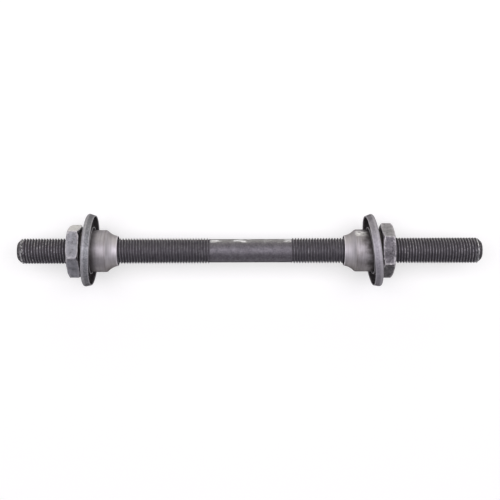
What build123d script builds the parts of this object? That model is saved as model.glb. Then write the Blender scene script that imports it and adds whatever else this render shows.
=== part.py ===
from build123d import *

import os
from dataclasses import dataclass
from math import cos, radians, sin, tan

# A solid bicycle hub axle with its two cones, dust caps and lock nuts, in millimetres.
# X runs along the axle, Z is up, and the origin is the middle of the axle on its own axis.

# Axle: a rod with one thread at each end and a plain stretch between them
axle_length = 175.0
thread_d = 9.525
thread_pitch = 25.4 / 24
thread_depth = 0.65
thread_flank_angle = 30.0
thread_crest_share = 1 / 8  # of the pitch
plain_d = 8.83
plain_length = 30.0
plain_centre_x = 0.4
thread_runout = 0.6
end_bevel_length = 1.9
end_face_d = 6.6
end_dome_height = 0.4

# Cones: turned sleeves with a ball race on the inner end and two wrench flats on the outer end
cone_length = 13.8
cone_d = 15.85
race_small_d = 11.3
race_length = 4.1
race_radius = 6.5
race_edge_break = 0.12
shoulder_round = 1.2
cone_back_chamfer = 0.3
wrench_across = 14.0
wrench_width = 3.0

# Lock nuts: hexagons with their corners turned off at both faces
nut_across_flats = 18.0
nut_thickness = 4.6
nut_bevel_d = 18.6
nut_bevel_angle = 30.0

# The bores of cones and nuts pass the crests of the axle's thread
thread_clearance = 0.05
bore_countersink = 0.5

# Dust caps: rings pressed from sheet, with a tapered rim, a flat web and a collar round the cone
cap_sheet = 0.4
cap_height = 2.95
cap_mouth_d = 26.3
cap_rim_taper = 15.5
cap_rim_bend = 0.75
collar_clearance = 0.6
collar_recess = 0.4
collar_bend = 0.9

# Each lock nut leaves a length of the thread bare, and the back of the cone stands against it
left_bare_length = 19.6
right_bare_length = 33.7

# The caps are loose: they lean, have settled off the axis, and stay clear of the lock nuts
left_cap_angle = 3.7
right_cap_angle = 7.0
left_cap_rise = 0.33
right_cap_rise = 0.07
cap_side_shift = 0.08
left_cap_clearance = 1.05
right_cap_clearance = 0.11

# Turns about the axle, from +Y to a corner of the hexagon and to the run of the wrench flats
left_nut_angle = 44.5
right_nut_angle = 0.0
left_wrench_angle = 20.0
right_wrench_angle = 65.0


@dataclass
class End:
    """Where the pieces at one end of the axle stand. Angles are in degrees."""

    name: str
    outward: int  # -1 towards -X, 1 towards +X
    bare_length: float
    cap_angle: float  # the cap's +Y side leans towards the middle of the axle
    cap_rise: float
    cap_clearance: float
    nut_angle: float
    wrench_angle: float

    @property
    def nut_face_x(self) -> float:
        """The plane of the lock nut's outer face."""
        return self.outward * (axle_length / 2 - self.bare_length)

    @property
    def seat_x(self) -> float:
        """The plane where the back of the cone meets the lock nut."""
        return self.nut_face_x - self.outward * nut_thickness

    @property
    def race_x(self) -> float:
        """The plane of the cone's small end."""
        return self.seat_x - self.outward * cone_length

    def profile_plane(self, x: float) -> Plane:
        """A plane at x whose own x runs outward along the axle and whose y is the radius."""
        return Plane(origin=(x, 0, 0), x_dir=(self.outward, 0, 0), z_dir=(0, 0, self.outward))

    def cap_plane(self) -> Plane:
        """The same plane for the cap, which leans about the middle of its collar."""
        lean = radians(self.cap_angle)
        run = Vector(self.outward * cos(lean), sin(lean), 0)
        collar_middle = (collar_recess + cap_height) / 2
        nut_gap = nut_bevel_d / 2 * tan(lean) + self.cap_clearance
        middle_x = self.seat_x - self.outward * (nut_gap + cap_height - collar_middle)
        middle = Vector(middle_x, self.cap_rise, cap_side_shift)
        return Plane(middle - run * collar_middle, x_dir=run, z_dir=(0, 0, self.outward))


ends = (
    End(
        "left",
        -1,
        left_bare_length,
        left_cap_angle,
        left_cap_rise,
        left_cap_clearance,
        left_nut_angle,
        left_wrench_angle,
    ),
    End(
        "right",
        1,
        right_bare_length,
        right_cap_angle,
        right_cap_rise,
        right_cap_clearance,
        right_nut_angle,
        right_wrench_angle,
    ),
)

# Sizes that follow from the ones above
thread_r = thread_d / 2
bore_r = thread_r + thread_clearance
countersink_r = bore_r + bore_countersink
cone_r = cone_d / 2

# Axle
half_length = axle_length / 2
end_face_r = end_face_d / 2
plain_start = plain_centre_x - plain_length / 2
plain_end = plain_centre_x + plain_length / 2
flank_width = thread_depth * tan(radians(thread_flank_angle))
groove_width = thread_pitch * (1 - thread_crest_share)

with BuildPart() as axle:
    with BuildSketch(Plane.XY):
        with BuildLine():
            left_dome_edge = (-half_length + end_dome_height, end_face_r)
            right_dome_edge = (half_length - end_dome_height, end_face_r)
            TangentArc((-half_length, 0), left_dome_edge, tangent=(0, 1))
            Polyline(
                left_dome_edge,
                (-half_length + end_bevel_length, thread_r),
                (plain_start - thread_runout, thread_r),
                (plain_start, plain_d / 2),
                (plain_end, plain_d / 2),
                (plain_end + thread_runout, thread_r),
                (half_length - end_bevel_length, thread_r),
                right_dome_edge,
            )
            TangentArc((half_length, 0), right_dome_edge, tangent=(0, 1))
            Line((half_length, 0), (-half_length, 0))
        make_face()
    revolve(axis=Axis.X)
    # One turn of the thread's groove, drawn as a ring, where each lock nut leaves the thread bare
    for end in ends:
        with BuildSketch(end.profile_plane(end.nut_face_x)):
            with BuildLine():
                Polyline(
                    (0, bore_r),
                    (0, thread_r),
                    (flank_width, thread_r - thread_depth),
                    (groove_width - flank_width, thread_r - thread_depth),
                    (groove_width, thread_r),
                    (groove_width, bore_r),
                    close=True,
                )
            make_face()
        revolve(axis=Axis.X, mode=Mode.SUBTRACT)


def make_cone(end: End) -> BuildPart:
    """A cone: the ball race, the round body, the threaded bore and the wrench flats."""
    with BuildPart() as cone:
        with BuildSketch(end.profile_plane(end.race_x)) as half:
            with BuildLine():
                RadiusArc((0, race_small_d / 2), (race_length, cone_r), -race_radius)
                Polyline(
                    (race_length, cone_r),
                    (cone_length, cone_r),
                    (cone_length, bore_r),
                    (0, bore_r),
                    (0, race_small_d / 2),
                )
            make_face()
            fillet(half.vertices().group_by(Axis.Y)[-1].sort_by(Axis.X)[0], shoulder_round)
            chamfer(half.vertices().group_by(Axis.Y)[-1].sort_by(Axis.X)[-1], cone_back_chamfer)
            chamfer(half.vertices().group_by(Axis.X)[0].sort_by(Axis.Y)[-1], race_edge_break)
            chamfer(half.vertices().group_by(Axis.Y)[0], bore_countersink)
        revolve(axis=Axis.X)
        with BuildSketch(Plane.YZ.offset(end.seat_x)):
            Circle(cone_d)
            Rectangle(3 * cone_d, wrench_across, rotation=end.wrench_angle, mode=Mode.SUBTRACT)
        extrude(amount=-end.outward * wrench_width, mode=Mode.SUBTRACT)
    return cone


def make_lock_nut(end: End) -> BuildPart:
    """A lock nut: a hexagon, cut down to a turned blank that holds the bevels and the bore."""
    bevel_r = nut_bevel_d / 2
    blank_r = nut_across_flats / 2 / cos(radians(30))
    bevel_depth = (blank_r - bevel_r) * tan(radians(nut_bevel_angle))
    with BuildPart() as nut:
        with BuildSketch(Plane.YZ.offset(end.seat_x)):
            RegularPolygon(nut_across_flats / 2, 6, major_radius=False, rotation=end.nut_angle)
        extrude(amount=end.outward * nut_thickness)
        with BuildSketch(end.profile_plane(end.seat_x)):
            with BuildLine():
                Polyline(
                    (0, countersink_r),
                    (0, bevel_r),
                    (bevel_depth, blank_r),
                    (nut_thickness - bevel_depth, blank_r),
                    (nut_thickness, bevel_r),
                    (nut_thickness, countersink_r),
                    (nut_thickness - bore_countersink, bore_r),
                    (bore_countersink, bore_r),
                    close=True,
                )
            make_face()
        revolve(axis=Axis.X, mode=Mode.INTERSECT)
    return nut


def make_dust_cap(end: End) -> BuildPart:
    """A dust cap: one sheet, bent from the rim's mouth round the web and back along the collar."""
    plane = end.cap_plane()
    collar_r = cone_r + collar_clearance
    rim_corner_r = cap_mouth_d / 2 + cap_height * tan(radians(cap_rim_taper))
    with BuildPart() as cap:
        with BuildSketch(plane):
            with BuildLine() as sheet:
                Polyline(
                    (0, cap_mouth_d / 2),
                    (cap_height, rim_corner_r),
                    (cap_height, collar_r),
                    (collar_recess, collar_r),
                )
                bends = sheet.vertices().group_by(Axis.X)[-1].sort_by(Axis.Y)
                fillet(bends[-1], cap_rim_bend)
                bends = sheet.vertices().sort_by_distance((cap_height, collar_r))
                fillet(bends[0], collar_bend)
                offset(amount=cap_sheet, side=Side.RIGHT, closed=True)
            make_face()
        revolve(axis=Axis(plane.origin, plane.x_dir))
    return cap


pieces = {"axle": axle}
for end in ends:
    pieces[f"{end.name}_cone"] = make_cone(end)
    pieces[f"{end.name}_dust_cap"] = make_dust_cap(end)
    pieces[f"{end.name}_lock_nut"] = make_lock_nut(end)

os.makedirs("parts", exist_ok=True)
for name, piece in pieces.items():
    piece.part.label = name
    export_step(piece.part, f"parts/{name}.step")
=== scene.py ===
"""A solid bicycle hub axle with its cones, dust caps and lock nuts, dressed for rendering.

Lengths are in millimetres until a mesh or a node takes them, in metres. X runs along the axle,
Z is up, and an angle about the axle is measured from +Y towards +Z.
"""

import logging
from dataclasses import dataclass
from enum import Enum
from math import cos, pi, radians, sin, tan

import bpy
import numpy as np
from mathutils import Matrix, Vector


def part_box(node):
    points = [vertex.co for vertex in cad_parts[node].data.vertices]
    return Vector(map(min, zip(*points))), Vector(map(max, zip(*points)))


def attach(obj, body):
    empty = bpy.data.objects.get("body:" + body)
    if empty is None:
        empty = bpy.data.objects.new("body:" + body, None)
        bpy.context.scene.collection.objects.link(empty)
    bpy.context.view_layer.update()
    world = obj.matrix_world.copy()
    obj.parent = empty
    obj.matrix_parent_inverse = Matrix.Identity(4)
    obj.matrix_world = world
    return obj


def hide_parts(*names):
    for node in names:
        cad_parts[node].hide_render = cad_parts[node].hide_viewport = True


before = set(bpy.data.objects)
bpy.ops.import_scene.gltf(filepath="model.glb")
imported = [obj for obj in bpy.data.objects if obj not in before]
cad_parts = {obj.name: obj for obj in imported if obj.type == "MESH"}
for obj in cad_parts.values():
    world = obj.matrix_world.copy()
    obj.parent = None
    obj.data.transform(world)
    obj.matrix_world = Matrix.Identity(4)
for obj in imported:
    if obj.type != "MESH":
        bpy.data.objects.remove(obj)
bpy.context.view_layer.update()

MM = 0.001
MATH = "ShaderNodeMath"
RANGE = "ShaderNodeMapRange"
ATTRIBUTE = "ShaderNodeAttribute"
ROUNDING_POINTS = 6
Tree = bpy.types.NodeTree
Socket = bpy.types.NodeSocket
log = logging.getLogger("hub_axle")


def linear(hex_colour: str) -> tuple[float, float, float, float]:
    """Turns an sRGB colour into the linear colour that a shader takes.

    Args:
        hex_colour: The colour as six hexadecimal digits after a hash.

    Returns:
        Red, green and blue from 0 to 1, and an alpha of 1.
    """
    channels = [int(hex_colour[i : i + 2], 16) / 255 for i in (1, 3, 5)]
    red, green, blue = (c / 12.92 if c <= 0.04045 else ((c + 0.055) / 1.055) ** 2.4 for c in channels)
    return red, green, blue, 1.0


def add_node(
    tree: Tree,
    kind: str,
    inputs: dict[str | int, object] | None = None,
    output: str | int = 0,
    **settings: object,
) -> Socket | None:
    """Adds one node to a tree with its settings, values and links.

    Args:
        tree: The shader or geometry tree.
        kind: The node's type.
        inputs: A value, a hex colour, or the socket to link from, for each named or numbered input.
        output: Which of the node's outputs to return.
        settings: The node's own properties.

    Returns:
        The chosen output, or None where the node has none.
    """
    node = tree.nodes.new(kind)
    for name, value in settings.items():
        setattr(node, name, value)
    for key, value in (inputs or {}).items():
        if isinstance(value, Socket):
            tree.links.new(value, node.inputs[key])
        else:
            node.inputs[key].default_value = linear(value) if isinstance(value, str) else value
    return node.outputs[output] if node.outputs else None


def distance(tree: Tree, value: Socket, middle: float | Socket = 0.0) -> Socket:
    """Measures how far a value lies from a middle one, to either side.

    Args:
        tree: The shader or geometry tree.
        value: The value.
        middle: The middle one.

    Returns:
        The distance.
    """
    past = add_node(tree, MATH, {0: value, 1: middle}, operation="SUBTRACT")
    return add_node(tree, MATH, {0: past}, operation="ABSOLUTE")


def empty_tree(owner: bpy.types.Material | bpy.types.World) -> Tree:
    """Gives a material or a world its own node tree.

    Args:
        owner: The material or world.

    Returns:
        The tree, with nothing in it.
    """
    owner.use_nodes = True
    owner.node_tree.nodes.clear()
    return owner.node_tree


def add_object(name: str, data: bpy.types.ID) -> bpy.types.Object:
    """Adds an object to the scene.

    Args:
        name: The new object's name.
        data: Its mesh, lamp or camera.

    Returns:
        The object.
    """
    added = bpy.data.objects.new(name, data)
    bpy.context.scene.collection.objects.link(added)
    return added


class Side(Enum):
    """The two ends of the axle, with the way each one faces along X."""

    LEFT = -1
    RIGHT = 1

    @property
    def label(self) -> str:
        """The word that the names of this end's nodes and bodies start with."""
        return self.name.lower()


@dataclass(frozen=True)
class Corner:
    """One corner of a turned outline, by its run along the piece and its radius."""

    run: float
    radius: float
    rounding: float = 0.0


@dataclass(frozen=True)
class Seat:
    """Where a ring sits: its origin, the way its run goes, and its side. Its third way is Z."""

    origin: Vector
    run: Vector
    side: Vector

    @classmethod
    def on_axle(cls, end: Side, start_x: float) -> "Seat":
        """A ring that is true to the axle, with its run going outwards from start_x."""
        return cls(Vector((start_x, 0, 0)), Vector((end.value, 0, 0)), Vector((0, 1, 0)))

    def points(self, run: np.ndarray, radius: np.ndarray, angle: np.ndarray) -> np.ndarray:
        """Places a grid of points in space.

        Args:
            run: Millimetres along the ring's axis.
            radius: Millimetres from the axis.
            angle: Radians round the axis.

        Returns:
            The points in millimetres.
        """
        origin, run_way, side, up = (np.array(v) for v in (self.origin, self.run, self.side, (0, 0, 1)))
        across = radius * np.cos(angle)
        over = radius * np.sin(angle)
        return origin + run[..., None] * run_way + across[..., None] * side + over[..., None] * up


def rounded_outline(corners: list[Corner], spacing: float) -> tuple[np.ndarray, np.ndarray]:
    """Walks round a closed outline, with its corners rounded and its runs divided.

    Args:
        corners: The outline's corners in order.
        spacing: The longest distance between points on a straight run.

    Returns:
        The points as run and radius, and how much each lies on a rounded corner, 0 or 1.
    """
    places = [np.array((c.run, c.radius)) for c in corners]
    count = len(corners)
    turns: list[np.ndarray] = []
    for i, corner in enumerate(corners):
        here, before, after = places[i], places[i - 1], places[(i + 1) % count]
        if not corner.rounding:
            turns.append(here[None, :])
            continue
        back = (before - here) / np.linalg.norm(before - here)
        forth = (after - here) / np.linalg.norm(after - here)
        half = np.arccos(np.clip(back @ forth, -1, 1)) / 2
        reach = corner.rounding / tan(half)
        inward = (back + forth) / np.linalg.norm(back + forth)
        centre = here + inward * corner.rounding / sin(half)
        start, end = here + back * reach - centre, here + forth * reach - centre
        sweep = pi - 2 * half
        steps = np.linspace(0, 1, ROUNDING_POINTS)[:, None]
        arms = start * np.sin((1 - steps) * sweep) + end * np.sin(steps * sweep)
        turns.append(centre + arms / sin(sweep))
    points: list[np.ndarray] = []
    worn: list[np.ndarray] = []
    for i, turn in enumerate(turns):
        leave, arrive = turn[-1], turns[(i + 1) % count][0]
        parts = max(int(np.ceil(np.linalg.norm(arrive - leave) / spacing)), 1)
        shares = np.arange(1, parts)[:, None] / parts
        points += [turn, leave + (arrive - leave) * shares]
        worn += [np.full(len(turn), float(corners[i].rounding > 0)), np.zeros(parts - 1)]
    return np.concatenate(points), np.concatenate(worn)


def turned_grid(outline: np.ndarray, segments: int) -> tuple[np.ndarray, np.ndarray, np.ndarray]:
    """Takes a closed outline round the axis.

    Args:
        outline: The outline's points as run and radius.
        segments: How many steps go round.

    Returns:
        The run, radius and angle of each outline point at each step.
    """
    angles = np.linspace(0, 2 * pi, segments, endpoint=False)
    run, angle = np.meshgrid(outline[:, 0], angles, indexing="ij")
    return run, np.repeat(outline[:, 1:], segments, axis=1), angle


def ring_object(
    name: str,
    seat: Seat,
    grid: tuple[np.ndarray, np.ndarray, np.ndarray],
    fields: dict[str, np.ndarray],
) -> bpy.types.Object:
    """Makes a closed ring from a grid that goes round an outline and round the axis.

    Args:
        name: The new object's name.
        seat: Where the ring sits.
        grid: The run, radius and angle of each outline point at each step round the axis.
        fields: Values to keep on the mesh's points, in the same grid.

    Returns:
        The object, whose mesh is already in place.
    """
    rows, columns = grid[0].shape
    points = seat.points(*grid).reshape(-1, 3) * MM
    index = np.arange(rows * columns).reshape(rows, columns)
    down, across = np.roll(index, -1, axis=0), np.roll(index, -1, axis=1)
    quads = np.stack([index, down, np.roll(down, -1, axis=1), across], axis=-1).reshape(-1, 4)
    first, second, third, fourth = (points[quads[:, i]] for i in range(4))
    volume = np.einsum("ij,ij->i", first, np.cross(second, third) + np.cross(third, fourth)).sum()
    if volume < 0:
        quads = quads[:, ::-1]
    mesh = bpy.data.meshes.new(name)
    mesh.from_pydata(points.tolist(), [], quads.tolist())
    for field_name, values in fields.items():
        mesh.attributes.new(field_name, "FLOAT", "POINT").data.foreach_set("value", values.ravel())
    mesh.shade_smooth()
    return add_object(name, mesh)


def finish_piece(piece: bpy.types.Object, node: str, material: bpy.types.Material) -> None:
    """Dresses a piece, puts it on its body and lets it stand for its node.

    Args:
        piece: The finished mesh.
        node: The node that it replaces, which is also the name of its body.
        material: The finish.
    """
    piece.data.materials.clear()
    piece.data.materials.append(material)
    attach(piece, node)
    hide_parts(node)
    low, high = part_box(node)
    points = np.array([v.co for v in piece.data.vertices])
    proud = max((np.array(low) - points.min(axis=0)).max(), (points.max(axis=0) - np.array(high)).max())
    log.info("%s: %d faces, %.3f mm proud of its node", piece.name, len(piece.data.polygons), proud / MM)


def mottle(
    tree: Tree,
    size: float,
    low: float,
    high: float,
    stretch: tuple[float, float, float] = (1.0, 1.0, 1.0),
    detail: float = 4.0,
) -> Socket:
    """A patchy pattern fixed to the object, from 0 to 1.

    Args:
        tree: The material's tree.
        size: The distance between patches in millimetres.
        low: The noise value that becomes 0.
        high: The noise value that becomes 1.
        stretch: How much finer the patches are along X, Y and Z.
        detail: How many finer layers lie on the patches.

    Returns:
        The pattern's socket.
    """
    place = add_node(tree, "ShaderNodeTexCoord", output="Object")
    mapped = add_node(tree, "ShaderNodeMapping", {"Vector": place, "Scale": stretch})
    settings = {"Vector": mapped, "Scale": 1 / (size * MM), "Detail": detail, "Roughness": 0.6}
    noise = add_node(tree, "ShaderNodeTexNoise", settings)
    return add_node(tree, RANGE, {"Value": noise, "From Min": low, "From Max": high})


@dataclass(frozen=True)
class Coat:
    """A colour that lies over a finish, as far as its strength and all of its patterns let it."""

    tone: str | Socket
    strength: float
    patterns: tuple[Socket, ...]


def lay_coats(tree: Tree, colour: str, coats: list[Coat]) -> Socket:
    """Lays coats over a base colour, each over the ones before it.

    Args:
        tree: The material's tree.
        colour: The base colour.
        coats: The coats, from the lowest to the uppermost.

    Returns:
        The finished colour.
    """
    for coat in coats:
        share = coat.strength
        for pattern in coat.patterns:
            share = add_node(tree, MATH, {0: share, 1: pattern}, operation="MULTIPLY")
        layers = {0: share, 6: colour, 7: coat.tone}
        colour = add_node(tree, "ShaderNodeMix", layers, output=2, data_type="RGBA")
    return colour


@dataclass(frozen=True)
class Surface:
    """What a finish's own nodes give: its colours, and how dull and how high it is from 0 to 1."""

    base: str
    coats: list[Coat]
    dullness: Socket
    height: Socket


@dataclass(frozen=True)
class Finish:
    """A metal finish. Each kind wires its own surface, whose dullness varies its roughness a little."""

    name: str
    roughness: float
    metallic: float
    edge_tint: str
    relief: float
    smoother: float = 0.07
    rougher: float = 0.1

    def surface(self, tree: Tree) -> Surface:
        """Wires the finish's own surface.

        Args:
            tree: The material's tree.

        Returns:
            The surface's sockets.
        """
        raise NotImplementedError

    def material(self) -> bpy.types.Material:
        """Builds the material round the finish's surface.

        Returns:
            The material.
        """
        material = bpy.data.materials.new(self.name)
        tree = empty_tree(material)
        surface = self.surface(tree)
        spread = {"To Min": self.roughness - self.smoother, "To Max": self.roughness + self.rougher}
        relief = {"Distance": self.relief * MM, "Height": surface.height}
        settings = {
            "Base Color": lay_coats(tree, surface.base, surface.coats),
            "Roughness": add_node(tree, RANGE, {"Value": surface.dullness, **spread}),
            "Metallic": self.metallic,
            "Specular Tint": self.edge_tint,
            "Normal": add_node(tree, "ShaderNodeBump", relief),
        }
        shader = add_node(tree, "ShaderNodeBsdfPrincipled", settings)
        add_node(tree, "ShaderNodeOutputMaterial", {"Surface": shader})
        return material


@dataclass(frozen=True)
class BlackenedSteel(Finish):
    """Black oxide on a rod of carbon steel with a rolled thread: dark and half dull.

    Grime with painted shade fills the grooves of the thread, and its crests are rubbed grey, most at the
    free ends, which tools and hands reach. The plain stretch is smoother and lighter. On its +Y side the
    plain stretch carries a band of painted sheen, with painted glints where it faces up, the crests on that
    side that face up carry a painted highlight, and a ring on each end bevel is knocked bright. The real
    oxide's grain is some hundredths of a millimetre, too fine to show, so it is drawn 0.35 to 0.7 mm coarse.
    """

    name: str = "blackened_steel"
    roughness: float = 0.5
    metallic: float = 0.6
    edge_tint: str = "#4c4c4e"
    relief: float = 0.03
    oxide: str = "#656268"
    thin_oxide: str = "#777479"
    rubbed: str = "#98959b"
    grime_and_shade: str = "#4f4c50"
    plain_oxide: str = "#5f5c61"
    plain_patch: str = "#716e74"
    bare_and_glint: str = "#b3b2ae"
    scraped_and_glint: str = "#eeeeee"
    knocked: str = "#bebcbe"
    root_radius: float = 4.11
    crest_radius: float = 4.7625
    plain_reach: float = 15.2
    plain_centre_x: float = 0.4
    bevel_x: float = 85.6
    worn_ring_x: float = 85.3
    inner_rub: float = 0.3
    top_sheen: float = 0.7
    plain_grain: float = 0.22
    plain_sheen: float = 0.45
    bevel_flecks: float = 0.3
    face_flecks: float = 0.25

    def surface(self, tree: Tree) -> Surface:
        """Wires the oxide, the rubbed crests, the plain stretch and the end bevels.

        Args:
            tree: The material's tree.

        Returns:
            The surface's sockets.
        """
        place = add_node(tree, "ShaderNodeTexCoord", output="Object")
        across = add_node(tree, "ShaderNodeVectorMath", {0: place, 1: (0, 1, 1)}, operation="MULTIPLY")
        radius = add_node(tree, "ShaderNodeVectorMath", {0: across}, output=1, operation="LENGTH")
        along, side, height = add_node(tree, "ShaderNodeSeparateXYZ", {0: place}).node.outputs
        off_middle = distance(tree, along, self.plain_centre_x * MM)
        off_ring = distance(tree, distance(tree, along), self.worn_ring_x * MM)
        patches = mottle(tree, 1.6, 0.36, 0.66)
        flecks = mottle(tree, 0.6, 0.42, 0.62, detail=2)
        bare_flecks = mottle(tree, 0.7, 0.5, 0.58, detail=2)
        knocks = mottle(tree, 7.0, 0.57, 0.67, detail=3)
        grain = mottle(tree, 0.5, 0.42, 0.66, detail=2)
        glints = mottle(tree, 2.2, 0.55, 0.63, (0.5, 2.0, 2.0), detail=3)
        ragged = add_node(tree, MATH, {0: bare_flecks, 1: 0.5 * MM, 2: side}, operation="MULTIPLY_ADD")

        # Each zone's measure, where it starts, where it is full, and what is left of it outside
        zones = {
            "crest": (radius, self.crest_radius - 0.3, self.crest_radius, 0.0),
            "root": (radius, self.root_radius + 0.25, self.root_radius, 0.0),
            "off_face": (radius, 2.6, 3.2, self.face_flecks),
            "plain": (off_middle, self.plain_reach + 0.3, self.plain_reach - 0.3, 0.0),
            "handled": (off_middle, 36.0, 60.0, self.inner_rub),
            "bevel": (off_middle, self.bevel_x - 0.3, self.bevel_x + 0.1, 0.0),
            "ring": (off_ring, 0.4, 0.2, 0.0),
            "top": (side, 3.0, 4.4, 0.0),
            "edge": (side, 3.0, 3.4, 0.0),
            "upper": (height, 0.6, 1.2, 0.0),
            "band": (ragged, 2.9, 3.9, 0.0),
        }
        zone: dict[str, Socket] = {}
        for name, (measure, start, full, outside) in zones.items():
            limits = {"From Min": start * MM, "From Max": full * MM, "To Min": outside}
            zone[name] = add_node(tree, RANGE, {"Value": measure, **limits})

        rub = (zone["crest"], flecks, zone["handled"])
        thread = [
            Coat(self.thin_oxide, 1.0, (patches,)),
            Coat(self.grime_and_shade, 1.0, (zone["root"], zone["handled"])),
            Coat(self.rubbed, 1.0, rub),
            Coat(self.knocked, 1.0, (knocks, *rub)),
            # Painted highlight on the crests of the +Y side that face up
            Coat(self.bare_and_glint, self.top_sheen, (zone["top"], zone["crest"], zone["upper"])),
        ]
        plain = [
            Coat(self.plain_patch, 1.0, (patches,)),
            Coat(self.rubbed, self.plain_grain, (grain,)),
            # A band of painted sheen on the +Y side, and painted glints where that side faces up
            Coat(self.bare_and_glint, self.plain_sheen, (zone["band"],)),
            Coat(self.scraped_and_glint, 1.0, (glints, zone["edge"], zone["upper"])),
        ]
        # The end faces keep most of their oxide
        rest = [
            Coat(lay_coats(tree, self.plain_oxide, plain), 1.0, (zone["plain"],)),
            Coat(self.bare_and_glint, self.bevel_flecks, (bare_flecks, zone["bevel"], zone["off_face"])),
            Coat(self.scraped_and_glint, 1.0, (zone["ring"], flecks)),
        ]
        unrubbed = add_node(tree, MATH, {0: 1.0, 1: flecks}, operation="SUBTRACT")
        return Surface(self.oxide, thread + rest, unrubbed, mottle(tree, 0.35, 0.3, 0.7))


@dataclass(frozen=True)
class TurnedSteel(Finish):
    """Hardened bearing steel, turned all over and ground in its race: satin, with fine rings.

    Painted shade darkens its +Y and -Y sides. Grime with the cap's painted shadow darkens it towards the
    dust cap, and grime with painted shade lies under the cap and in the bore's mouth. A patch of painted
    glints can lie on its +Y side.
    The real rings are about 0.1 mm apart, too fine to show, so they are drawn 0.35 mm apart with broad ones
    between.
    """

    name: str = "turned_steel"
    roughness: float = 0.55
    metallic: float = 0.6
    edge_tint: str = "#505052"
    relief: float = 0.01
    steel: str = "#b0acb0"
    bright: str = "#e0dce0"
    ring: str = "#8e8a8e"
    stain: str = "#77716c"
    grime_and_shade: str = "#474343"
    bare_and_glint: str = "#f0efee"
    stained: float = 0.25
    ragged: float = 0.7
    shadow_and_dirt_from: float = 6.4
    dark_from: float = 10.6
    dirt_slope: float = 0.0
    glint_strength: float = 0.0
    line_run: float = 4.4
    glint_run: float = 6.2
    glint_side: float = 6.35
    low_film: float = 0.45
    top_film: float = 0.55

    def surface(self, tree: Tree) -> Surface:
        """Wires the turned rings, the ground race, the painted side shade, the painted glints, and the grime
        with painted shadow towards the cap.

        Args:
            tree: The material's tree.

        Returns:
            The surface's sockets.
        """
        run, wear, shaded_grime = (
            add_node(tree, ATTRIBUTE, output="Fac", attribute_name=name) for name in ("run", "wear", "grime_and_shade")
        )
        place = add_node(tree, "ShaderNodeTexCoord", output="Object")
        side = add_node(tree, "ShaderNodeSeparateXYZ", {0: place}, output=1)
        broad = mottle(tree, 1.6, 0.36, 0.66, (1.0, 0.1, 0.1))
        fine = mottle(tree, 0.35, 0.3, 0.7, (1.0, 0.05, 0.05), detail=2)
        clouds = mottle(tree, 4.0, 0.4, 0.64)
        flecks = mottle(tree, 1.0, 0.4, 0.52, (0.5, 1.0, 1.0), detail=3)

        # The ground race, painted shade on the +Y and -Y sides, the dark line at the shoulder and the patch
        # of painted glints:
        # each zone's measure, where it starts, where it is full and how strong it is there
        zones: list[Socket] = []
        for measure, start, full, most in (
            (run, 4.6, 3.2, 1.0),
            (side, -2.0, -7.0, self.low_film),
            (side, 2.0, 6.0, self.top_film),
            (distance(tree, run, self.line_run * MM), 0.22, 0.1, 1.0),
            (distance(tree, side, self.glint_side * MM), 1.2, 0.4, 1.0),
            (distance(tree, run, self.glint_run * MM), 2.6, 1.8, 1.0),
        ):
            limits = {"From Min": start * MM, "From Max": full * MM, "To Max": most}
            zones.append(add_node(tree, RANGE, {"Value": measure, **limits}))
        race, low_film, top_film, line, *glint_patch = zones
        ground = add_node(tree, MATH, {0: race, 1: fine}, operation="ADD")
        off_race = add_node(tree, MATH, {0: 1.0, 1: race}, operation="SUBTRACT")
        # Painted shade on the +Y and -Y sides, stronger on the race
        race_side_shade = add_node(tree, MATH, {0: top_film, 1: low_film}, operation="ADD")
        film = add_node(tree, MATH, {0: race_side_shade, 1: race, 2: low_film}, operation="MULTIPLY_ADD")
        # Darker towards the cap: dirt with the cap's painted shadow
        ragged = add_node(tree, MATH, {0: clouds, 1: self.ragged * MM, 2: run}, operation="MULTIPLY_ADD")
        sloped = add_node(tree, MATH, {0: side, 1: self.dirt_slope, 2: ragged}, operation="MULTIPLY_ADD")
        limits = {"Value": sloped, "From Min": self.shadow_and_dirt_from * MM, "From Max": self.dark_from * MM}
        dirt_and_cap_shadow = add_node(tree, RANGE, limits, interpolation_type="SMOOTHSTEP")
        coats = [
            Coat(self.ring, 0.6, (broad,)),
            Coat(self.bright, 0.3, (ground,)),
            Coat(self.stain, self.stained, (clouds, off_race)),
            Coat(self.stain, 0.4, (line,)),
            # Painted shade on the +Y and -Y sides
            Coat(self.stain, 1.0, (film,)),
            # Painted glints in a patch on the +Y side
            Coat(self.bare_and_glint, self.glint_strength, (flecks, *glint_patch)),
            Coat(self.grime_and_shade, 0.95, (dirt_and_cap_shadow,)),
            Coat(self.bright, 1.0, (wear,)),
            Coat(self.grime_and_shade, 1.0, (shaded_grime,)),
        ]
        return Surface(self.steel, coats, broad, fine)


@dataclass(frozen=True)
class PressedSheetSteel(Finish):
    """Cold-rolled sheet, pressed and tumbled: even dull grey, brighter on its bends and lips.

    The tumbled specks are really about 0.2 mm and are drawn 0.7 mm coarse so that they show.
    """

    name: str = "pressed_sheet_steel"
    roughness: float = 0.58
    metallic: float = 0.5
    edge_tint: str = "#303032"
    relief: float = 0.02
    steel: str = "#8d8e92"
    dull: str = "#75767a"
    speck: str = "#aeafb3"
    bright: str = "#d0ced2"
    grime_and_shade: str = "#5a5657"

    def surface(self, tree: Tree) -> Surface:
        """Wires the tumbled specks, the bright bends, the lips with their painted highlight, the grime with
        painted shade in the channel and the painted shade on the +Y and -Y sides.

        Args:
            tree: The material's tree.

        Returns:
            The surface's sockets.
        """
        wear, shaded_dirt = (
            add_node(tree, ATTRIBUTE, output="Fac", attribute_name=name) for name in ("wear", "grime_and_shade")
        )
        clouds = mottle(tree, 2.5, 0.36, 0.66)
        specks = mottle(tree, 0.7, 0.44, 0.62, detail=2)
        coats = [
            Coat(self.dull, 1.0, (clouds,)),
            Coat(self.speck, 0.6, (specks,)),
            Coat(self.grime_and_shade, 0.92, (shaded_dirt,)),
            Coat(self.bright, 0.85, (wear,)),
        ]
        return Surface(self.steel, coats, clouds, specks)


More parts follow.
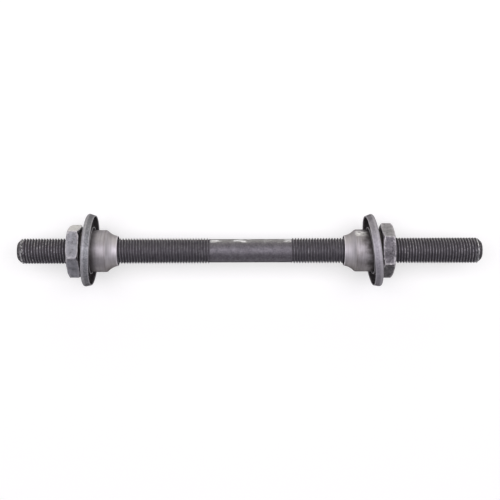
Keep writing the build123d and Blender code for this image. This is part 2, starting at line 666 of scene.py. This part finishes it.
@dataclass(frozen=True)
class PlatedSteel(Finish):
    """Thin old plating on a hot-forged nut: grey and pitted, rubbed bright along its edges.

    Each flat carries its own painted light or painted shade, and scratches run beside the edges.
    The pits are really about 0.3 mm and are drawn 0.8 mm coarse so that they show.
    """

    name: str = "plated_steel"
    roughness: float = 0.45
    metallic: float = 0.35
    edge_tint: str = "#909092"
    relief: float = 0.03
    plate: str = "#757277"
    dull: str = "#524f54"
    pit_and_shade: str = "#3a373a"
    bright: str = "#d0cdd0"
    flat_highlight: str = "#e2e0dc"
    grime_and_shade: str = "#333032"
    pitted: float = 0.6
    rubbed: float = 1.5
    scratched: float = 0.9

    def surface(self, tree: Tree) -> Surface:
        """Wires the clouded plating, its pits, the painted light and shade on the flats, the worn edges and
        the grime with painted shade on the inner face.

        Args:
            tree: The material's tree.

        Returns:
            The surface's sockets.
        """
        wear, rim, shaded_grime, painted_light = (
            add_node(tree, ATTRIBUTE, output="Fac", attribute_name=name)
            for name in ("wear", "rim", "grime_and_shade", "painted_light")
        )
        clouds = mottle(tree, 2.4, 0.36, 0.66)
        pits = mottle(tree, 0.8, 0.54, 0.68, detail=3)
        breaks = mottle(tree, 1.2, 0.4, 0.56)
        # Positive values paint light on a flat, negative ones paint shade
        lighter = add_node(tree, MATH, {0: painted_light, 1: 0.0}, operation="MAXIMUM")
        darker = add_node(tree, MATH, {0: painted_light, 1: -1.0}, operation="MULTIPLY", use_clamp=True)
        edges = add_node(tree, MATH, {0: wear, 1: self.rubbed}, operation="MULTIPLY", use_clamp=True)
        edges = add_node(tree, MATH, {0: edges, 1: breaks}, operation="MULTIPLY")

        # A scratch is a thin line where the noise passes its middle value
        off_line = distance(tree, mottle(tree, 2.0, 0.0, 1.0, detail=3), 0.5)
        limits = {"From Min": 0.02, "From Max": 0.008, "To Max": self.scratched}
        scratches = add_node(tree, RANGE, {"Value": off_line, **limits})
        scratches = add_node(tree, MATH, {0: scratches, 1: rim}, operation="MULTIPLY")
        worn = add_node(tree, MATH, {0: edges, 1: scratches}, operation="MAXIMUM")
        coats = [
            Coat(self.dull, 1.0, (clouds,)),
            Coat(self.flat_highlight, 1.0, (lighter,)),
            Coat(self.pit_and_shade, 1.0, (darker,)),
            Coat(self.pit_and_shade, self.pitted, (pits,)),
            Coat(self.grime_and_shade, 0.93, (shaded_grime,)),
            Coat(self.bright, 1.0, (worn,)),
        ]
        height = add_node(tree, MATH, {0: 1.0, 1: pits}, operation="SUBTRACT")
        return Surface(self.plate, coats, clouds, height)


@dataclass
class Axle:
    """The axle: a rod with a right-hand thread at each end and a plain stretch between them."""

    length: float = 175.0
    crest_d: float = 9.525
    pitch: float = 25.4 / 24
    thread_depth: float = 0.65
    plain_d: float = 8.83
    plain_length: float = 30.0
    plain_centre_x: float = 0.4
    runout: float = 0.9
    bevel_length: float = 1.9
    end_face_d: float = 6.6
    dome_height: float = 0.4
    rows_per_turn: int = 6
    spare_turns: int = 6
    segments: int = 64
    sharp_angle: float = 35.0

    def thread_tree(self, inputs: dict[str, object]) -> bpy.types.GeometryNodeTree:
        """Builds the tree that bends a grid into the threaded rod.

        Each row of the grid follows the helix, one pitch along X for a turn. A row's place in
        its pitch sets its radius, and the plain stretch, the bevels and the domes limit it. The
        left thread starts half a turn on from the right one.

        Args:
            inputs: The values that the tree will be given, by the names of its inputs.

        Returns:
            The geometry tree.
        """
        tree = bpy.data.node_groups.new("threaded_rod", "GeometryNodeTree")
        tree.interface.new_socket(name="Geometry", in_out="OUTPUT", socket_type="NodeSocketGeometry")
        kinds = {float: "NodeSocketFloat", int: "NodeSocketInt", bpy.types.Material: "NodeSocketMaterial"}
        for name, value in inputs.items():
            tree.interface.new_socket(name=name, in_out="INPUT", socket_type=kinds[type(value)])
        size = add_node(tree, "NodeGroupInput").node.outputs
        spans = {"Size X": size["Grid Length"], "Size Y": 2 * pi}
        counts = {"Vertices X": size["Rows"], "Vertices Y": size["Segments"]}
        grid = add_node(tree, "GeometryNodeMeshGrid", {**spans, **counts})
        place = add_node(tree, "GeometryNodeInputPosition")
        row, turn, _ = add_node(tree, "ShaderNodeSeparateXYZ", {0: place}).node.outputs

        known = {socket.name: socket for socket in size} | {"row": row, "turn": turn}

        # Each measure is worked out from the tree's inputs, from numbers and from the ones before it
        half_row = 1 / (2 * self.rows_per_turn)
        for name, operation, *parts in (
            # How far along the axle each point is, and where its row stands in the thread's pitch
            ("lead", "DIVIDE", "Pitch", 2 * pi),
            ("along", "MULTIPLY_ADD", "turn", "lead", "row"),
            ("half grid", "DIVIDE", "Grid Length", 2.0),
            ("from start", "ADD", "row", "half grid"),
            ("turns", "DIVIDE", "from start", "Pitch"),
            ("on left", "LESS_THAN", "along", 0.0),
            ("phase", "MULTIPLY_ADD", "on left", 0.5, half_row),
            ("shifted", "ADD", "turns", "phase"),
            ("cycle", "FRACT", "shifted"),
            ("off root", "SUBTRACT", "cycle", 0.5),
            ("from root", "ABSOLUTE", "off root"),
            ("thread", RANGE, "from root", half_row, 0.5 - half_row, "Root Radius", "Crest Radius"),
            # The thread fades out at the plain stretch
            ("off middle", "SUBTRACT", "along", "Plain Centre"),
            ("from middle", "ABSOLUTE", "off middle"),
            ("half plain", "DIVIDE", "Plain Length", 2.0),
            ("past plain", "SUBTRACT", "from middle", "half plain"),
            ("share", "DIVIDE", "past plain", "Runout"),
            ("body", RANGE, "share", 0.0, 1.0, "Plain Radius", "thread"),
            # The bevels cut the thread's ends
            ("reach", "ABSOLUTE", "along"),
            ("half", "DIVIDE", "Length", 2.0),
            ("face", "SUBTRACT", "half", "Dome Height"),
            ("bevel start", "SUBTRACT", "half", "Bevel Length"),
            ("bevel", RANGE, "reach", "bevel start", "face", "Crest Radius", "End Radius"),
            ("cut", "MINIMUM", "body", "bevel"),
            # The rows past each end close to a low dome
            ("dome end", "ADD", "face", "Dome Run"),
            ("dome", RANGE, "reach", "face", "dome end"),
            ("left over", "SUBTRACT", 1.0, "dome"),
            ("radius", "MULTIPLY", "cut", "left over"),
            ("fall", "MULTIPLY", "left over", "left over"),
            ("rise", "SUBTRACT", 1.0, "fall"),
            ("held", "MINIMUM", "reach", "face"),
            ("out", "MULTIPLY_ADD", "rise", "Dome Height", "held"),
            ("way", "SIGN", "along"),
            ("across", "COSINE", "turn"),
            ("over", "SINE", "turn"),
            ("x", "MULTIPLY", "out", "way"),
            ("y", "MULTIPLY", "radius", "across"),
            ("z", "MULTIPLY", "radius", "over"),
        ):
            values = {i: known[part] if isinstance(part, str) else part for i, part in enumerate(parts)}
            if operation == RANGE:
                known[name] = add_node(tree, RANGE, values)
            else:
                known[name] = add_node(tree, MATH, values, operation=operation)

        # The bent grid closes to one skin, and its faces are turned to look outwards
        position = add_node(tree, "ShaderNodeCombineXYZ", {name.upper(): known[name] for name in "xyz"})
        bent = add_node(tree, "GeometryNodeSetPosition", {"Geometry": grid, "Position": position})
        closed = add_node(tree, "GeometryNodeMergeByDistance", {"Geometry": bent, "Distance": 0.002 * MM})
        outward = add_node(tree, "GeometryNodeFlipFaces", {"Mesh": closed})
        real = add_node(tree, "GeometryNodeRealizeInstances", {"Geometry": outward})
        finish = {"Geometry": real, "Material": size["Material"]}
        dressed = add_node(tree, "GeometryNodeSetMaterial", finish)
        add_node(tree, "NodeGroupOutput", {0: dressed})
        return tree

    def build(self, material: bpy.types.Material) -> None:
        """Makes the threaded rod and puts it in the place of its node.

        Args:
            material: The rod's finish.
        """
        turns = round(self.length / self.pitch + self.spare_turns)
        lengths = {
            "Length": self.length,
            "Grid Length": turns * self.pitch,
            "Pitch": self.pitch,
            "Crest Radius": self.crest_d / 2,
            "Root Radius": self.crest_d / 2 - self.thread_depth,
            "Plain Radius": self.plain_d / 2,
            "Plain Length": self.plain_length,
            "Plain Centre": self.plain_centre_x,
            "Runout": self.runout,
            "Bevel Length": self.bevel_length,
            "End Radius": self.end_face_d / 2,
            "Dome Height": self.dome_height,
            "Dome Run": 2 * self.pitch,
        }
        counts = {"Rows": turns * self.rows_per_turn + 1, "Segments": self.segments + 1}
        inputs = {name: length * MM for name, length in lengths.items()} | counts | {"Material": material}
        rod = add_object("threaded_axle", bpy.data.meshes.new("threaded_axle"))
        modifier = rod.modifiers.new("thread", "NODES")
        modifier.node_group = self.thread_tree(inputs)
        for socket in modifier.node_group.interface.items_tree:
            if socket.in_out == "INPUT":
                modifier[socket.identifier] = inputs[socket.name]
        evaluated = rod.evaluated_get(bpy.context.evaluated_depsgraph_get())
        mesh = bpy.data.meshes.new_from_object(evaluated)
        rod.modifiers.remove(modifier)
        rod.data = mesh
        mesh.shade_smooth()
        mesh.set_sharp_from_angle(angle=radians(self.sharp_angle))
        finish_piece(rod, "axle", material)


@dataclass
class Cone:
    """A cone: a sleeve with a ground ball race on its inner end."""

    end: Side
    race_x: float
    wrench_turn: float
    length: float = 13.8
    body_d: float = 15.85
    race_small_d: float = 11.3
    race_length: float = 4.1
    race_radius: float = 6.5
    race_edge_break: float = 0.12
    shoulder_round: float = 1.2
    back_rounding: float = 0.3
    bore_d: float = 9.625
    countersink: float = 0.5
    wrench_across: float = 14.0
    wrench_width: float = 3.0
    wall_step: float = 0.05
    hidden_length: float = 2.4
    hidden_fade: float = 0.5
    rim_run: float = 0.5
    rim_depth: float = 0.3
    sunk_run: float = 1.0
    margin: float = 0.1
    race_points: int = 15
    point_spacing: float = 0.35
    segments: int = 128
    sharp_angle: float = 40.0

    def race(self) -> list[Corner]:
        """Draws the hollow arc of the ball race.

        Returns:
            Its points from the small end to the shoulder.
        """
        start = np.array((0.0, self.race_small_d / 2))
        end = np.array((self.race_length, self.body_d / 2))
        chord = end - start
        middle = (start + end) / 2
        away = np.array((-chord[1], chord[0])) / np.linalg.norm(chord)
        centre = middle + away * np.sqrt(self.race_radius**2 - (chord @ chord) / 4)
        first = np.arctan2(*(start - centre)[::-1])
        last = np.arctan2(*(end - centre)[::-1])
        steps = np.linspace(first, last, self.race_points)
        return [Corner(*(centre + self.race_radius * np.array((cos(a), sin(a))))) for a in steps]

    def outline(self) -> list[Corner]:
        """Draws the turned outline.

        Returns:
            Its corners, from the small end along the outside and back through the bore.
        """
        arc = self.race()
        bore_r = self.bore_d / 2
        body_r = self.body_d / 2
        sink = self.countersink
        wall_run = self.length - self.wrench_width
        return [
            Corner(arc[0].run, arc[0].radius, self.race_edge_break),
            *arc[1:-1],
            Corner(arc[-1].run, body_r, self.shoulder_round),
            Corner(wall_run, body_r),
            Corner(wall_run + self.wall_step, body_r),
            Corner(self.length, body_r, self.back_rounding),
            Corner(self.length, bore_r + sink),
            Corner(self.length - sink, bore_r),
            Corner(sink, bore_r),
            Corner(0.0, bore_r + sink),
        ]

    def build(self, material: bpy.types.Material) -> None:
        """Makes the cone and puts it in the place of its node.

        Args:
            material: The cone's finish.
        """
        outline, worn = rounded_outline(self.outline(), self.point_spacing)
        run, radius, angle = turned_grid(outline, self.segments)

        # The wrench flats are milled into the outside only
        half_width = self.wrench_across / 2
        across = np.maximum(np.abs(np.sin(angle - radians(self.wrench_turn))), half_width / self.body_d)
        sunk_r = self.bore_d / 2 + self.countersink + self.margin
        milled = (run > self.length - self.wrench_width) & (radius > sunk_r)
        radius = np.where(milled, np.minimum(radius, half_width / across), radius)

        # The race's small rim is worn, and the bore's mouth and the part behind the cap get grime with
        # painted shade
        rim = (run < self.rim_run) & (radius > self.race_small_d / 2 - self.rim_depth)
        wear = np.where(rim, worn[:, None], 0.0)
        sunk = (radius < sunk_r) & (run < self.sunk_run)
        shade_behind_cap = np.clip((run - self.length + self.hidden_length) / self.hidden_fade, 0, 1)
        fields = {"wear": wear, "grime_and_shade": np.maximum(sunk, shade_behind_cap), "run": run * MM}
        seat = Seat.on_axle(self.end, self.race_x)
        piece = ring_object(f"{self.end.label}_ground_cone", seat, (run, radius, angle), fields)
        piece.data.set_sharp_from_angle(angle=radians(self.sharp_angle))
        finish_piece(piece, f"{self.end.label}_cone", material)


@dataclass
class DustCap:
    """A dust cap: a pressed ring of sheet with a tapered rim, a flat web and a collar."""

    end: Side
    seat_x: float
    lean: float
    clearance: float
    rise: float
    shift: float = 0.08
    nut_bevel_d: float = 18.6
    cone_d: float = 15.85
    sheet: float = 0.4
    height: float = 2.95
    mouth_d: float = 26.3
    taper: float = 15.5
    rim_bend: float = 0.75
    collar_gap: float = 0.6
    recess: float = 0.4
    collar_bend: float = 0.9
    lip_rounding: float = 0.12
    lip_run: float = 0.7
    lip_wear_and_sheen: float = 0.5
    bend_wear: float = 0.4
    side_stain: float = 0.65
    margin: float = 0.1
    point_spacing: float = 0.4
    segments: int = 160

    def seat(self) -> Seat:
        """Finds where the loose cap hangs, leaning about the middle of its collar.

        Returns:
            The cap's seat.
        """
        way = self.end.value
        lean = radians(self.lean)
        run = Vector((way * cos(lean), sin(lean), 0))
        side = Vector((-way * sin(lean), cos(lean), 0))
        middle = (self.recess + self.height) / 2
        gap = self.nut_bevel_d / 2 * tan(lean) + self.clearance
        middle_x = self.seat_x - way * (gap + self.height - middle)
        return Seat(Vector((middle_x, self.rise, self.shift)) - run * middle, run, side)

    def outline(self) -> list[Corner]:
        """Draws the bent sheet.

        Returns:
            Its corners, along the outside from the mouth to the collar and back along the inside.
        """
        slope = tan(radians(self.taper))
        collar_r = self.cone_d / 2 + self.collar_gap
        mouth_r = self.mouth_d / 2
        web = self.height - self.sheet
        lip = self.sheet * sin(radians(self.taper))
        inner_r = mouth_r - self.sheet * cos(radians(self.taper))
        return [
            Corner(0.0, mouth_r, self.lip_rounding),
            Corner(self.height, mouth_r + self.height * slope, self.rim_bend),
            Corner(self.height, collar_r, self.collar_bend),
            Corner(self.recess, collar_r, self.lip_rounding),
            Corner(self.recess, collar_r + self.sheet, self.lip_rounding),
            Corner(web, collar_r + self.sheet, self.collar_bend - self.sheet),
            Corner(web, inner_r + (web - lip) * slope, self.rim_bend - self.sheet),
            Corner(lip, inner_r, self.lip_rounding),
        ]

    def build(self, material: bpy.types.Material) -> None:
        """Makes the cap and puts it in the place of its node.

        Args:
            material: The cap's finish.
        """
        outline, worn = rounded_outline(self.outline(), self.point_spacing)
        run, radius, angle = turned_grid(outline, self.segments)
        collar_r = self.cone_d / 2 + self.collar_gap + self.sheet - self.margin
        rim_r = self.mouth_d / 2 - self.margin + run * tan(radians(self.taper)) - self.sheet / 2
        inside = (radius < rim_r) & (run < self.height - self.sheet / 2) & (radius > collar_r)

        # The lips and bends are rubbed outside the channel, the lips also carry a painted highlight, grime
        # with painted shade fills the channel, and the +Y and -Y sides get painted shade
        rubbed = worn[:, None] * np.where(run < self.lip_run, self.lip_wear_and_sheen, self.bend_wear)
        wear = np.where(inside & (run > self.lip_run), 0.0, rubbed)
        # Painted shade on the +Y and -Y sides
        stained = self.side_stain * np.cos(angle) ** 2
        fields = {"wear": wear, "grime_and_shade": np.where(inside, 1.0, stained)}
        piece = ring_object(f"{self.end.label}_pressed_cap", self.seat(), (run, radius, angle), fields)
        finish_piece(piece, f"{self.end.label}_dust_cap", material)


@dataclass
class LockNut:
    """A lock nut: a hexagon with both faces turned to a bevel and its edges rubbed round."""

    end: Side
    seat_x: float
    turn: float
    flat_painted_light: tuple[float, ...]
    across_flats: float = 18.0
    thickness: float = 4.6
    bevel_d: float = 18.6
    bevel_angle: float = 30.0
    bore_d: float = 9.625
    countersink: float = 0.5
    section_middle_r: float = 7.2
    section_reach: float = 8.0
    edge_softness: float = 0.05
    wear_width: float = 0.22
    scratch_width: float = 0.9
    flat_margin: float = 0.02
    grime_fade: float = 0.1
    corner_bunching: float = 0.8
    steps_per_flat: int = 48
    halvings: int = 30

    def limits(self, angle: np.ndarray) -> np.ndarray:
        """Lists the planes and cones that bound the nut: six flats, then the turned surfaces.

        Args:
            angle: Radians round the axis.

        Returns:
            For each limit, the a, b and c in a*run + b*radius - c, which is how far outside it
            a point is in millimetres, at each angle.
        """
        bevel = radians(self.bevel_angle)
        bore_r = self.bore_d / 2
        slant = 1 / np.sqrt(2)
        sunk = (bore_r + self.countersink) * slant
        far = self.thickness
        rows = [
            (0.0, np.cos(angle - radians(self.turn + 30 + 60 * flat)), self.across_flats / 2)
            for flat in range(6)
        ]
        rows += [
            (-cos(bevel), sin(bevel), self.bevel_d / 2 * sin(bevel)),
            (cos(bevel), sin(bevel), self.bevel_d / 2 * sin(bevel) + far * cos(bevel)),
            (-1.0, 0.0, 0.0),
            (1.0, 0.0, far),
            (0.0, -1.0, -bore_r),
            (-slant, -slant, -sunk),
            (slant, -slant, far * slant - sunk),
        ]
        return np.array([[value * np.ones_like(angle) for value in row] for row in rows])

    def rays(self) -> tuple[np.ndarray, np.ndarray]:
        """Aims rays from the middle of the nut's section, closest together at its edges.

        Returns:
            Their ways in the section, in radians from outwards, and their angles round the axis.
        """
        steps = np.linspace(0, 1, self.steps_per_flat, endpoint=False)
        bunched = steps - self.corner_bunching * np.sin(2 * pi * steps) / (2 * pi)
        corners = radians(self.turn) + np.arange(6) * pi / 3
        angles = (corners[:, None] + bunched[None, :] * pi / 3).ravel()

        # In degrees: fine over the two bevels, and coarser over the flat and through the bore
        bevel = np.radians(np.arange(36, 72, 0.8))
        flat = np.radians(np.arange(74, 107, 4.0))
        bore = np.radians(np.arange(148, 392, 5.0))
        ways = np.concatenate([bevel, flat, pi - bevel[::-1], bore])
        way, angle = np.meshgrid(ways, angles, indexing="ij")
        return way, angle

    def build(self, material: bpy.types.Material) -> None:
        """Makes the nut and puts it in the place of its node.

        Each ray ends where the soft sum of all limits is reached, which rounds the edges.

        Args:
            material: The nut's finish.
        """
        way, angle = self.rays()
        a, b, c = np.moveaxis(self.limits(angle[0]), 1, 0)[:, :, None, :]
        middle_run = self.thickness / 2
        at_middle = a * middle_run + b * self.section_middle_r - c
        growth = a * np.cos(way) + b * np.sin(way)
        near = np.zeros_like(way)
        far = np.full_like(way, self.section_reach)
        for _ in range(self.halvings):
            reach = (near + far) / 2
            outside = np.exp((at_middle + reach * growth) / self.edge_softness).sum(axis=0) > 1
            far = np.where(outside, reach, far)
            near = np.where(outside, near, reach)
        reach = (near + far) / 2
        run = middle_run + reach * np.cos(way)
        radius = self.section_middle_r + reach * np.sin(way)

        # Wear follows the distance to the next limit, grime with painted shade lies on the side of the cone,
        # and each flat gets its painted light or shade
        outsides = at_middle + reach * growth
        depths = np.sort(outsides, axis=0)
        from_edge = depths[-1] - depths[-2]
        cone_side = [6, 8]
        inner = outsides[cone_side].max(axis=0)
        outer = np.delete(outsides, cone_side, axis=0).max(axis=0)
        # Painted light and painted shade, one value for each flat
        painted_light = np.array(self.flat_painted_light)[outsides[:6].argmax(axis=0)]
        on_flat = outsides[:6].max(axis=0) > outsides[6:].max(axis=0) - self.flat_margin
        fields = {
            "wear": np.exp(-from_edge / self.wear_width),
            "rim": np.exp(-from_edge / self.scratch_width),
            "grime_and_shade": np.clip((inner - outer) / self.grime_fade, 0, 1),
            "painted_light": np.where(on_flat, painted_light, 0.0),
        }
        seat = Seat.on_axle(self.end, self.seat_x)
        piece = ring_object(f"{self.end.label}_hex_nut", seat, (run, radius, angle), fields)
        finish_piece(piece, f"{self.end.label}_lock_nut", material)


@dataclass(frozen=True)
class PhotoView:
    """The camera: straight above the axle, as the photograph was taken. Rows and columns are pixels."""

    picture_side: float = 500.0
    focal_pixels: float = 900.0
    height: float = 339.75
    centre_column: float = 237.0
    axle_column: float = 249.6
    axle_row: float = 250.7
    centre_row: float = 250.6
    scale: float = 0.3775
    roll: float = 0.13

    def build(self) -> None:
        """Adds the camera and makes it the scene's own."""
        camera = bpy.data.cameras.new("photo_view")
        camera.sensor_width = 36.0
        camera.lens = camera.sensor_width * self.focal_pixels / self.picture_side
        camera.shift_x = (self.picture_side / 2 - self.centre_column) / self.picture_side
        camera.shift_y = (self.centre_row - self.picture_side / 2) / self.picture_side
        camera.clip_start = 0.01
        camera.clip_end = 10.0
        holder = add_object("photo_view", camera)
        turn = Matrix.Rotation(radians(-self.roll), 4, "Z")
        left = -(self.axle_column - self.centre_column) * self.scale * MM
        up = (self.axle_row - self.centre_row) * self.scale * MM
        holder.matrix_world = turn @ Matrix.Translation((left, up, self.height * MM))
        bpy.context.scene.camera = holder


@dataclass(frozen=True)
class Lamp:
    """An oblong soft lamp that faces the axle, in millimetres and watts."""

    name: str
    place: tuple[float, float, float]
    width: float
    depth: float
    power: float
    tint: tuple[float, float, float]

    def build(self) -> None:
        """Hangs the lamp."""
        lamp = bpy.data.lights.new(self.name, "AREA")
        lamp.shape = "RECTANGLE"
        lamp.size = self.width * MM
        lamp.size_y = self.depth * MM
        lamp.energy = self.power
        lamp.color = self.tint
        spot = Vector(self.place) * MM
        aim = (-spot).to_track_quat("-Z", "Y").to_matrix().to_4x4()
        add_object(self.name, lamp).matrix_world = Matrix.Translation(spot) @ aim


@dataclass(frozen=True)
class Studio:
    """A white table under soft light that comes from above and from the picture's top."""

    floor_z: float = -13.8
    floor_side: float = 4000.0
    floor: str = "#c0c0c0"
    floor_glow: float = 0.52
    world: str = "#666668"
    lamps: tuple[Lamp, ...] = (
        Lamp("main_light", (0.0, 60.0, 600.0), 1200.0, 480.0, 5.0, (1.0, 0.965, 1.02)),
        Lamp("window_light", (0.0, 520.0, 160.0), 700.0, 300.0, 0.85, (1.0, 0.99, 0.82)),
    )

    def build(self) -> None:
        """Adds the table, the world and the lamps."""
        self.add_table()
        self.add_world()
        for lamp in self.lamps:
            lamp.build()

    def add_table(self) -> None:
        """Adds the table top, which the camera and the metal see as white."""
        half = self.floor_side / 2 * MM
        low = self.floor_z * MM
        corners = [(-half, -half, low), (half, -half, low), (half, half, low), (-half, half, low)]
        mesh = bpy.data.meshes.new("table")
        mesh.from_pydata(corners, [], [(0, 1, 2, 3)])
        table = add_object("table", mesh)
        material = bpy.data.materials.new("table_white")
        tree = empty_tree(material)
        seen = add_node(tree, "ShaderNodeLightPath", output="Is Camera Ray")
        path = seen.node.outputs
        for kind in ("Is Glossy Ray", "Is Transmission Ray"):
            seen = add_node(tree, MATH, {0: seen, 1: path[kind]}, operation="MAXIMUM")
        glow = add_node(tree, MATH, {0: seen, 1: self.floor_glow}, operation="MULTIPLY")
        white = add_node(tree, "ShaderNodeEmission", {"Strength": glow})
        matt = add_node(tree, "ShaderNodeBsdfDiffuse", {"Color": self.floor})
        both = add_node(tree, "ShaderNodeAddShader", {0: white, 1: matt})
        add_node(tree, "ShaderNodeOutputMaterial", {"Surface": both})
        mesh.materials.append(material)

    def add_world(self) -> None:
        """Adds even light from all round."""
        world = bpy.data.worlds.new("studio")
        tree = empty_tree(world)
        background = add_node(tree, "ShaderNodeBackground", {"Color": self.world, "Strength": 1.0})
        add_node(tree, "ShaderNodeOutputWorld", {"Surface": background})
        bpy.context.scene.world = world


def main() -> None:
    """Builds the hub axle's pieces, the studio and the view, and notes the sizes."""
    logging.basicConfig(level=logging.INFO, format="%(message)s")
    bpy.context.scene.view_settings.view_transform = "Standard"
    turned = TurnedSteel().material()
    stained = TurnedSteel(
        "turned_steel_stained_glinting", stained=0.45, ragged=1.4, shadow_and_dirt_from=7.2, dirt_slope=0.15, glint_strength=1.0
    ).material()
    pressed = PressedSheetSteel().material()
    light_pressed = PressedSheetSteel(
        "pressed_sheet_steel_light", steel="#a29fa6", dull="#8d8a91", speck="#b4b1b8"
    ).material()
    light_plate = PlatedSteel(
        "plated_steel_light", plate="#94949a", dull="#737378", grime_and_shade="#242224", pitted=0.45, scratched=0.7
    ).material()
    dull_plate = PlatedSteel("plated_steel_dull", grime_and_shade="#565255").material()
    left_nut_flat_light = (0.05, 0.0, 0.1, -0.2, 0.1, 1.0)
    right_nut_flat_light = (0.25, -0.25, -0.8, 0.0, -0.3, 0.1)

    Axle().build(BlackenedSteel().material())
    Cone(Side.LEFT, race_x=-49.5, wrench_turn=20.0).build(turned)
    Cone(Side.RIGHT, race_x=35.4, wrench_turn=65.0).build(stained)
    DustCap(Side.LEFT, seat_x=-63.3, lean=3.7, clearance=1.05, rise=0.33).build(pressed)
    DustCap(Side.RIGHT, seat_x=49.2, lean=7.0, clearance=0.11, rise=0.07).build(light_pressed)
    LockNut(Side.LEFT, seat_x=-63.3, turn=44.5, flat_painted_light=left_nut_flat_light).build(light_plate)
    LockNut(Side.RIGHT, seat_x=49.2, turn=0.0, flat_painted_light=right_nut_flat_light).build(dull_plate)
    Studio().build()
    PhotoView().build()


if __name__ == "__main__":
    main()
